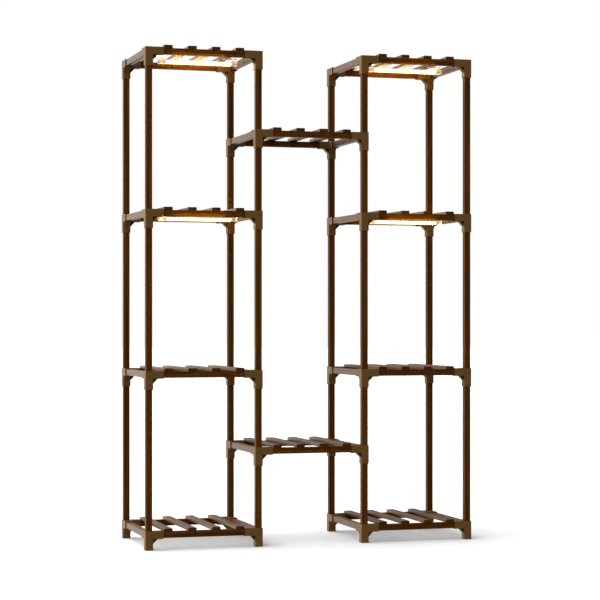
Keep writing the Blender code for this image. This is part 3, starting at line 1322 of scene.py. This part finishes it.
@dataclass
class LightBar:
    """A light bar under a shelf: channel, milky diffuser, lamp strip, clear hangers and a cord inlet."""

    tower: str
    level: int
    hanger_length: float = 0.022
    hanger_wall: float = 0.0018
    hanger_edge: float = 0.0008
    stem: float = 0.012
    stem_web: float = 0.003
    flange: float = 0.0025
    foot: float = 0.024
    plate: float = 0.0025
    plate_edge: float = 0.0003
    lip: float = 0.0015
    lip_drop: float = 0.0065
    lip_axis: float = 0.0088
    wall: float = 0.0015
    corner: float = 0.003
    corner_steps: int = 6
    run_steps: int = 8
    gap: float = 0.0003
    strip_width: float = 0.012
    strip_thickness: float = 0.0010
    chip_side: float = 0.0050
    chip_corner: float = 0.0006
    chip_height: float = 0.0006
    chip_shoulder: float = 0.00036
    chip_taper: float = 0.0003
    block_length: float = 0.0085
    block_edge: float = 0.0008
    block_corner: float = 0.0022
    inlet_root: float = 0.002
    inlet_length: float = 0.006
    inlet_radius: float = 0.0035
    inlet_sides: int = 24
    inlet_steps: tuple[tuple[float, float], ...] = (
        (0.45, 1.0), (0.5, 0.86), (1.0, 0.82), (1.0, 0.52), (0.3, 0.50),
    )

    def __post_init__(self) -> None:
        """Reads the bar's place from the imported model."""
        self.node = f"{self.tower}_light_bar_{self.level}"
        self.channel_node = f"{self.node}_channel"
        low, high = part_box(f"{self.node}_diffuser")
        self.middle = (low + high) / 2
        self.reach = (high.x - low.x) / 2
        self.half_depth = (high.y - low.y) / 2
        self.floor = low.z
        self.under_plate = high.z + self.gap
        self.top = self.under_plate + self.plate
        channel_low, channel_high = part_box(self.channel_node)
        self.cup_floor = channel_low.z
        self.seat = channel_high.z
        self.end = channel_high.x - self.middle.x
        self.cup_half = (channel_high.y - channel_low.y) / 2

    def offset(self, height: float = 0.0) -> Point:
        """The bar's middle line at a height."""
        return (self.middle.x, self.middle.y, height)

    def housing(self, name: str, mesh: bpy.types.Mesh, finish: Finish) -> None:
        """Puts in one piece of the housing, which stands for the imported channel."""
        dressed(f"{self.node}_{name}", mesh, finish, (self.channel_node,))

    def channel(self) -> None:
        """Builds the folded white channel that carries the strip."""
        half, outer, inner = self.half_depth, self.lip_axis + self.lip / 2, self.lip_axis - self.lip / 2
        low, under, top = self.top - self.lip_drop, self.under_plate, self.top
        right = [(inner, under), (inner, low), (outer, low), (outer, under), (half, under), (half, top)]
        outline = [*right, *((-a, b) for a, b in reversed(right))]
        body = prism(Axis.X, outline, -self.reach - self.gap, self.reach + self.gap, self.offset())
        round_edges(body.data, self.plate_edge, steps=2)
        self.housing("folded_channel", released(body), COAT)

    def trough(self, inset: float) -> Outline:
        """Draws the trough's rounded floor, from left to right.

        Args:
            inset: how far inside the outer face it lies.

        Returns:
            Its points.
        """
        half, corner = self.half_depth - inset, self.corner - inset
        middle_height = self.floor + inset + corner
        points = []
        for sign, first in ((-1, 180), (1, 270)):
            for index in range(self.corner_steps + 1):
                angle = math.radians(first + 90 * index / self.corner_steps)
                across = sign * (half - corner) + corner * math.cos(angle)
                points.append((across, middle_height + corner * math.sin(angle)))
        return points

    def shape_with_run(self, rings: list[tuple[float, Outline]], height: float,
                       run: Callable[[float, float, float], Point]) -> bmesh.types.BMesh:
        """Starts a body along the bar, with a vector at each vertex for the glow.

        Args:
            rings: each ring's place along the bar, and its outline.
            height: where the outlines' origin lies.
            run: gives the vector for a place along the bar and a point of the outline.

        Returns:
            The mesh in the making.
        """
        shape = bmesh.new()
        layer = shape.verts.layers.float_vector.new("run")
        made = loft(shape, Axis.X, rings, self.offset(height))
        for (level, outline), vertices in zip(rings, made):
            for (a, b), vertex in zip(outline, vertices):
                vertex[layer] = Vector(run(level, a, b))
        return shape

    def diffuser(self) -> None:
        """Builds the milky trough."""
        half, high = self.half_depth, self.under_plate - self.gap
        inner = half - self.wall
        outline = [(-half, high), *self.trough(0.0), (half, high)]
        outline += [(inner, high), *reversed(self.trough(self.wall)), (-inner, high)]
        step = 2 * self.reach / self.run_steps
        rings = [(step * index - self.reach, outline) for index in range(self.run_steps + 1)]
        shape = self.shape_with_run(rings, 0.0, lambda level, a, b: (level, a / half, 0.0))
        name = f"{self.node}_glowing_diffuser"
        dressed(name, mesh_of(shape, name), GLOW, (f"{self.node}_diffuser",))

    def strip(self) -> None:
        """Builds the lamp strip and its chips."""
        high = self.under_plate - self.gap
        low = high - self.strip_thickness
        half = self.strip_width / 2
        shape = bmesh.new()
        board = box_outline((-half, low), (half, high))
        loft(shape, Axis.X, [(-self.reach, board), (self.reach, board)], self.offset())
        board_faces = len(shape.faces)
        chip = eased_outline(self.chip_side, self.chip_side, (self.chip_corner,) * 4, steps=2)
        rings = [(low + TOUCH, chip), (low - self.chip_shoulder, chip)]
        rings.append((low - self.chip_height, shrunk(chip, self.chip_taper)))
        count = int(2 * self.reach / CHIP_PITCH)
        first = self.middle.x - CHIP_PITCH * (count - 1) / 2
        for index in range(count):
            loft(shape, Axis.Z, rings, (first + index * CHIP_PITCH, self.middle.y, 0.0))
        mesh = mesh_of(shape, f"{self.node}_strip_and_chips")
        mesh.materials.append(BOARD.make())
        mesh.materials.append(CHIP.make())
        for face in mesh.polygons[board_faces:]:
            face.material_index = 1
        dressed(mesh.name, mesh, BOARD, (f"{self.node}_lamp_strip",))

    def hanger(self, hand: str) -> None:
        """Builds one end's clear hanger: a cup round the bar, a stem and a flange under the slat.

        Args:
            hand: which end.
        """
        side = HANDS[hand]
        outer, inner = side * self.end, side * (self.end - self.hanger_length)
        start, end = sorted((outer, inner))
        middle = (outer + inner) / 2
        half, low, high = self.cup_half, self.cup_floor, self.top + self.cup_half - self.half_depth
        wall, seat, web, stem = self.hanger_wall, self.seat, self.stem_web / 2, self.stem / 2
        flange = box_outline((-self.half_depth, seat - self.flange), (self.half_depth, seat))
        post = box_outline((-stem, high - wall / 2), (stem, seat - self.flange / 2))
        hollow = box_outline((-half + wall, low + wall), (half - wall, high - wall))
        middle_line = self.offset()
        body = prism(Axis.X, box_outline((-half, low), (half, high)), start, end, middle_line)
        others = [
            prism(Axis.X, post, middle - web, middle + web, middle_line),
            prism(Axis.X, flange, start - self.foot, end, middle_line),
        ]
        merged(body, others, "UNION")
        round_edges(body.data, self.hanger_edge, steps=3)
        shift = side * wall
        cutter = prism(Axis.X, hollow, start - shift, end - shift, middle_line)
        merged(body, [cutter], "DIFFERENCE")
        self.housing(f"hanger_{hand}", released(body), CLEAR)

    def end_block(self, hand: str) -> None:
        """Builds one end's milky block inside the hanger's cup.

        Args:
            hand: which end.
        """
        side = HANDS[hand]
        play = 2 * (self.hanger_wall + self.gap)
        width = 2 * self.cup_half - play
        height = self.top - self.floor + 2 * (self.cup_half - self.half_depth) - play
        outline = eased_outline(width, height, (self.block_corner,) * 4, steps=4)
        start = side * (self.reach + 2 * self.gap)
        end = side * (self.reach + self.block_length)
        rings = [(start, outline), (end - side * self.block_edge, outline)]
        rings.append((end, shrunk(outline, self.block_edge)))
        length = abs(end - start)
        shape = self.shape_with_run(rings, (self.top + self.floor) / 2,
                                    lambda level, a, b: (abs(level - start) / length, a, b))
        name = f"{self.node}_end_block_{hand}"
        dressed(name, mesh_of(shape, name), CAP, (self.channel_node,))

    def inlet(self) -> None:
        """Builds the cord inlet on the bar's left end, a stepped collar with an open bore."""
        profile = [(self.inlet_root, self.inlet_radius)]
        profile += [(-self.inlet_length * out, self.inlet_radius * size) for out, size in self.inlet_steps]
        rings = [(along - self.end, round_outline(radius, self.inlet_sides)) for along, radius in profile]
        shape = bmesh.new()
        loft(shape, Axis.X, rings, self.offset((self.top + self.floor) / 2))
        self.housing("cord_inlet", mesh_of(shape, "cord_inlet"), COAT)

    def screws(self) -> None:
        """Builds the screws that hold the hangers to the slats, one on each side of a stem."""
        shelf = Shelf(f"{self.tower}_tower_shelf_{self.level}")
        out = (self.stem / 2 + self.half_depth) / 2
        ys = [self.middle.y + sign * out for sign in SIDES.values()]
        ends = (shelf.slat_x[0], shelf.slat_x[-1])
        places = [(x, y, self.seat - self.flange) for x in ends for y in ys]
        SCREW.piece(f"{self.node}_hanger_screws", places, "lamp_housing", (self.channel_node,))

    def build(self) -> None:
        """Builds the bar."""
        self.channel()
        self.diffuser()
        self.strip()
        for hand in HANDS:
            self.hanger(hand)
            self.end_block(hand)
        self.inlet()
        self.screws()


@dataclass(frozen=True)
class Lamp:
    """A warm lamp that stands in for a part of a bar's light, unseen itself."""

    name: str
    shift: Point
    facing: Point
    size: tuple[float, float]
    watts: dict[int, float]
    colour: tuple[float, float, float] = (1.0, 0.66, 0.06)
    spread: float = 180.0

    def hang(self, light_bar: LightBar, anchor: Point) -> None:
        """Adds the lamp.

        Args:
            light_bar: the bar that it belongs to.
            anchor: the point from which its shift is counted.
        """
        data = bpy.data.lights.new(f"{light_bar.node}_{self.name}", "AREA")
        data.shape = "RECTANGLE"
        data.size, data.size_y = self.size
        data.energy = self.watts[light_bar.level]
        data.color = self.colour
        data.spread = math.radians(self.spread)
        made = placed(data.name, data)
        made.location = Vector(anchor) + Vector(self.shift)
        made.rotation_euler = Vector(self.facing).to_track_quat("-Z", "Y").to_euler()
        made.visible_camera = False


BACK_GLOW = Lamp(
    "glow_back",
    shift=(0.01, 0.002, -0.003),
    facing=(0.10, 1.0, 0.30),
    size=(0.20, 0.008),
    watts={3: 0.34, 4: 0.34},
    spread=75.0,
)
FRONT_GLOW = Lamp(
    "glow_front",
    shift=(0.0, -0.002, 0.004),
    facing=(0.0, -1.0, 0.55),
    size=(0.22, 0.008),
    watts={3: 0.12, 4: 0.12},
)
UNDER_GLOW = Lamp(
    "glow_under",
    shift=(-0.02, -0.045, -0.016),
    facing=(0.0, -1.0, 0.15),
    size=(0.24, 0.016),
    watts={3: 0.17, 4: 0.17},
    colour=(1.0, 0.72, 0.25),
)
BLOOM = Lamp(
    "bloom",
    shift=(-0.042, -0.006, -0.004),
    facing=(0.0, 0.8, 0.6),
    size=(0.165, 0.002),
    watts={3: 0.075, 4: 0.038},
    colour=(1.0, 0.85, 0.10),
)


@dataclass
class Studio:
    """Pale floor, soft light and the camera."""

    lens: float = 114.5026
    sensor: float = 36.0
    shift_y: float = 0.029323
    camera_place: Point = (-1.82588, -6.09970, 0.73713)
    camera_turn: float = -16.786
    view_end: float = 200.0
    floor_half: float = 40.0
    floor_colour: Colour = (0.63, 0.63, 0.63, 1.0)
    white: Colour = (1.0, 1.0, 1.0, 1.0)
    key_from: Point = (-0.75, 0.20, 0.63)
    key_power: float = 3.0
    key_strength: float = 4.9
    ambient: float = 0.80
    ambient_below: float = 0.54
    mirror_front: float = 0.15
    mirror_right: float = 0.20
    mirror_under: float = 0.62
    mirror_below: float = 0.60
    mirror_strength: float = 2.35
    mirror_colour: Colour = (1.0, 0.94, 0.83, 1.0)
    horizon: Band = (-0.20, 0.20)
    mirror_from_front: Band = (-0.75, 0.15)
    mirror_to_right: Band = (-0.10, 0.30)
    mirror_level: Band = (-0.06, -0.01)
    mirror_ground: Band = (-0.42, -0.06)

    def camera(self) -> None:
        """Places the camera at the picture's viewpoint, level."""
        data = bpy.data.cameras.new("camera")
        data.lens = self.lens
        data.sensor_width = self.sensor
        data.shift_y = self.shift_y
        data.clip_end = self.view_end
        made = placed("camera", data)
        made.location = self.camera_place
        made.rotation_euler = (math.radians(90), 0.0, math.radians(self.camera_turn))
        bpy.context.scene.camera = made

    def floor(self) -> None:
        """Lays a large pale floor."""
        shape = bmesh.new()
        shape.faces.new(ring(shape, Axis.Z, 0.0, square_outline(self.floor_half), ORIGIN))
        mesh = mesh_of(shape, "floor")
        material = bpy.data.materials.new("pale_floor")
        material.use_nodes = True
        nodes = Nodes(material.node_tree)
        shader = nodes.add("ShaderNodeBsdfDiffuse", None, {"Color": self.floor_colour})
        nodes.end("ShaderNodeOutputMaterial", shader)
        mesh.materials.append(material)
        made = placed("floor", mesh)
        made.visible_glossy = False
        made.visible_diffuse = False

    def lit(self, direction: Value) -> Value:
        """Works out the light on the stand: soft all round, with a broad softbox at the upper left.

        Args:
            direction: where it comes from.

        Returns:
            Its strength.
        """
        key = Vector(self.key_from).normalized()
        dot = {"operation": "DOT_PRODUCT"}
        toward = direction.nodes.add("ShaderNodeVectorMath", dot, {0: direction, 1: key}, output="Value")
        _, _, up = direction.nodes.split(direction)
        ambient = up.ramp(*self.horizon, self.ambient_below, self.ambient)
        return ambient + toward.at_least(0.0) ** self.key_power * self.key_strength

    def mirrored(self, direction: Value) -> Value:
        """Works out the light that faces mirror: strong behind and to the left, weak in front.

        Args:
            direction: where it comes from.

        Returns:
            Its strength.
        """
        right, back, up = direction.nodes.split(direction)
        strength = back.ramp(*self.mirror_from_front, self.mirror_front, self.mirror_strength)
        upper = right.ramp(*self.mirror_to_right, 1.0, self.mirror_right)
        lower = right.ramp(*self.mirror_to_right, 1.0, self.mirror_under)
        under = up.ramp(*self.mirror_level, 1.0, 0.0)
        strength = strength * (upper * (1.0 - under) + lower * under)
        return strength * up.ramp(*self.mirror_ground, self.mirror_below, 1.0)

    def sky(self) -> None:
        """Sets the room's light, which is plain white to the camera and through clear plastic."""
        world = bpy.data.worlds.new("studio")
        bpy.context.scene.world = world
        world.use_nodes = True
        nodes = Nodes(world.node_tree)
        direction = nodes.add("ShaderNodeTexCoord", output="Generated")
        rays = nodes.add("ShaderNodeLightPath").socket.node
        kinds = ("Camera", "Glossy", "Transmission")
        camera, glossy, through = (Value(nodes, rays.outputs[f"Is {kind} Ray"]) for kind in kinds)
        strength = self.lit(direction) * (1.0 - glossy) + self.mirrored(direction) * glossy
        plain = camera.at_least(through)
        strength = strength * (1.0 - plain) + plain
        colour = nodes.blend(glossy, self.white, self.mirror_colour)
        background = nodes.add("ShaderNodeBackground", None, {"Color": colour, "Strength": strength})
        nodes.end("ShaderNodeOutputWorld", background)

    @staticmethod
    def bar_glow(light_bar: LightBar) -> None:
        """Adds the light that a bar throws back and forward along its shelf.

        Args:
            light_bar: the bar.
        """
        x, y, floor = light_bar.offset(light_bar.floor)
        rail_face = LAYOUT.pole_y["front"] - STOCK.side / 2
        BACK_GLOW.hang(light_bar, (x, y + light_bar.half_depth, floor))
        FRONT_GLOW.hang(light_bar, (x, y - light_bar.half_depth, floor))
        UNDER_GLOW.hang(light_bar, (x, LAYOUT.pole_y["back"], light_bar.seat))
        BLOOM.hang(light_bar, (x, rail_face, light_bar.seat - STOCK.side))

    def build(self, light_bars: list[LightBar]) -> None:
        """Builds the room round the stand.

        Args:
            light_bars: the bars whose light it holds.
        """
        self.camera()
        self.floor()
        self.sky()
        for light_bar in light_bars:
            self.bar_glow(light_bar)
        bpy.context.scene.view_settings.view_transform = "Standard"


def main() -> None:
    """Builds the stand and the room round it."""
    logging.basicConfig(level=logging.INFO, format="%(message)s")
    light_bars = [LightBar(tower, level) for tower in HANDS for level in LIT_LEVELS]
    Studio().build(light_bars)
    for tower in HANDS:
        Tower(tower).build()
    for name in ("lower", "upper"):
        Bridge(name).build()
    for light_bar in light_bars:
        light_bar.build()


if __name__ == "__main__":
    main()
